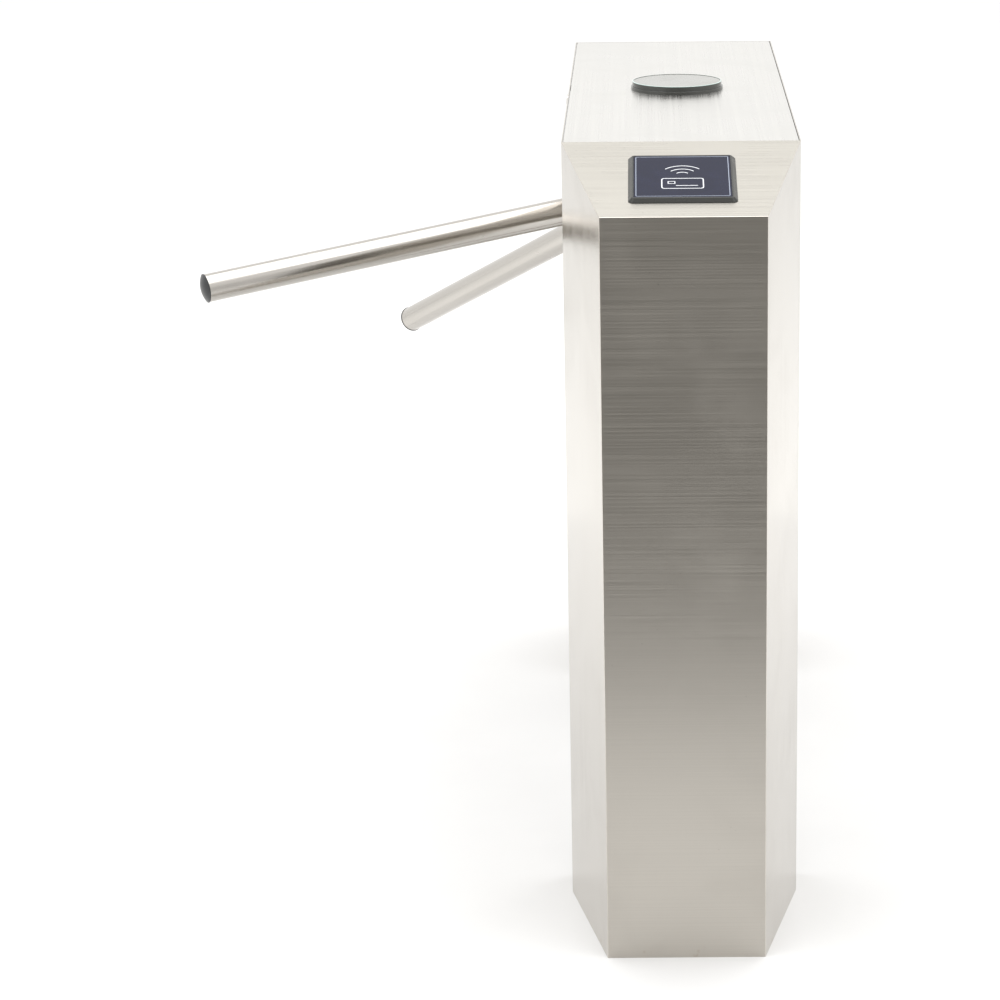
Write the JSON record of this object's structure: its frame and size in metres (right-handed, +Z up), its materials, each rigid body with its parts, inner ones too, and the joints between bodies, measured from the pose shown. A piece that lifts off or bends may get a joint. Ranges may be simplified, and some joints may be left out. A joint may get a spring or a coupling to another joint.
{
  "type": "tripod turnstile",
  "caption": "Bridge-type tripod turnstile: a long brushed-steel cabinet with tapered ends, a card reader on each slope, a round lamp on top and a tilted rotor of arms at one side.",
  "frame": {"origin": "middle of the cabinet's footprint on the floor, at the centre of the anchor holes", "axes": "+Z up, +Y along the cabinet, +X across it, away from the arms"},
  "size_m": [0.7623, 1.3, 0.9908],
  "materials": {
    "cabinet_steel": "brushed",
    "polished_tube": "polished",
    "hub_chrome": "polished",
    "zinc_steel": "zinc plated",
    "machined_steel": "machined",
    "cast_alloy": "cast",
    "black_plastic": "satin",
    "bezel_plastic": "satin",
    "reader_panel": "printed panel",
    "circuit_board": "solder mask",
    "brass": "machined",
    "lamp_gloss": "gloss",
    "lamp_cap": "gloss",
    "cap_rubber": "moulded",
    "screw_steel": "blackened"
  },
  "bodies": {
    "cabinet": {"front_pedestal": "cabinet_steel", "rear_pedestal": "cabinet_steel", "bridge_housing": "cabinet_steel", "front_base_plate": "zinc_steel", "rear_base_plate": "zinc_steel", "cover_ledges": "zinc_steel", "front_access_panel": "cabinet_steel", "rear_access_panel": "cabinet_steel", "access_panel_screws": "screw_steel", "cover_hinge_brackets": "zinc_steel", "cover_hinge_pins": "machined_steel", "lock_body": "hub_chrome", "front_reader_bezel": "bezel_plastic", "front_reader_face": "reader_panel", "front_reader_case": "black_plastic", "front_reader_board": "circuit_board", "rear_reader_bezel": "bezel_plastic", "rear_reader_face": "reader_panel", "rear_reader_case": "black_plastic", "rear_reader_board": "circuit_board", "mechanism_chassis": "cast_alloy", "chassis_bolts": "zinc_steel", "front_bearing": "machined_steel", "rear_bearing": "machined_steel", "drive_motor": "black_plastic", "left_solenoid": "black_plastic", "right_solenoid": "black_plastic", "pawl_pins": "machined_steel", "encoder_sensor": "black_plastic", "control_board": "circuit_board", "power_supply": "cast_alloy", "earth_studs": "brass"},
    "cover": {"top_cover": "cabinet_steel", "cover_hinge_leaves": "zinc_steel", "cover_catch": "zinc_steel", "indicator_base": "lamp_gloss", "indicator_lens": "lamp_gloss", "indicator_cap": "lamp_cap", "indicator_board": "circuit_board"},
    "cover_lock": {"lock_plug": "brass", "lock_cam": "zinc_steel"},
    "rotor": {"hub": "hub_chrome", "hub_cap": "hub_chrome", "arm_tube_1": "polished_tube", "arm_tube_2": "polished_tube", "arm_tube_3": "polished_tube", "arm_end_caps": "cap_rubber", "arm_screws": "screw_steel", "main_shaft": "machined_steel", "lock_disc": "zinc_steel", "main_gear": "machined_steel", "encoder_disc": "black_plastic", "shaft_nut": "zinc_steel"},
    "motor_pinion": {"motor_pinion": "brass"},
    "left_pawl": {"left_pawl": "zinc_steel"},
    "right_pawl": {"right_pawl": "zinc_steel"},
    "left_plunger": {"left_plunger": "machined_steel"},
    "right_plunger": {"right_plunger": "machined_steel"}
  },
  "joints": [
    {"name": "rotor_spin", "type": "hinge", "parent": "cabinet", "child": "rotor", "pos_m": [-0.04, 0, 0.834], "axis": [-0.7071, 0, -0.7071], "continuous": true},
    {"name": "motor_pinion_spin", "type": "hinge", "parent": "cabinet", "child": "motor_pinion", "pos_m": [0.05936, 0.05657, 0.85336], "axis": [-0.7071, 0, -0.7071], "continuous": true},
    {"name": "cover_swing", "type": "hinge", "parent": "cabinet", "child": "cover", "pos_m": [0.1307, 0, 0.976], "axis": [0, 1, 0], "range_deg": [0, 80]},
    {"name": "lock_turn", "type": "hinge", "parent": "cabinet", "child": "cover_lock", "pos_m": [-0.145, -0.006, 0.961], "axis": [-1, 0, 0], "range_deg": [0, 90]},
    {"name": "left_plunger_slide", "type": "slide", "parent": "cabinet", "child": "left_plunger", "axis": [0, 1, 0], "range_m": [0, 0.009], "stiffness_N_per_m": 300, "springref_m": -0.004},
    {"name": "right_plunger_slide", "type": "slide", "parent": "cabinet", "child": "right_plunger", "axis": [0, -1, 0], "range_m": [0, 0.009], "stiffness_N_per_m": 300, "springref_m": -0.004},
    {"name": "left_pawl_swing", "type": "hinge", "parent": "cabinet", "child": "left_pawl", "pos_m": [-0.03013, -0.056, 0.90751], "axis": [0.7071, 0, 0.7071], "range_deg": [0, 10]},
    {"name": "right_pawl_swing", "type": "hinge", "parent": "cabinet", "child": "right_pawl", "pos_m": [-0.03013, 0.056, 0.90751], "axis": [-0.7071, 0, -0.7071], "range_deg": [0, 10]}
  ],
  "couplings": [
    {"joint": "motor_pinion_spin", "follows": "rotor_spin", "ratio": -3},
    {"joint": "left_pawl_swing", "follows": "left_plunger_slide", "rad_per_m": 18.867},
    {"joint": "right_pawl_swing", "follows": "right_plunger_slide", "rad_per_m": 18.867}
  ]
}
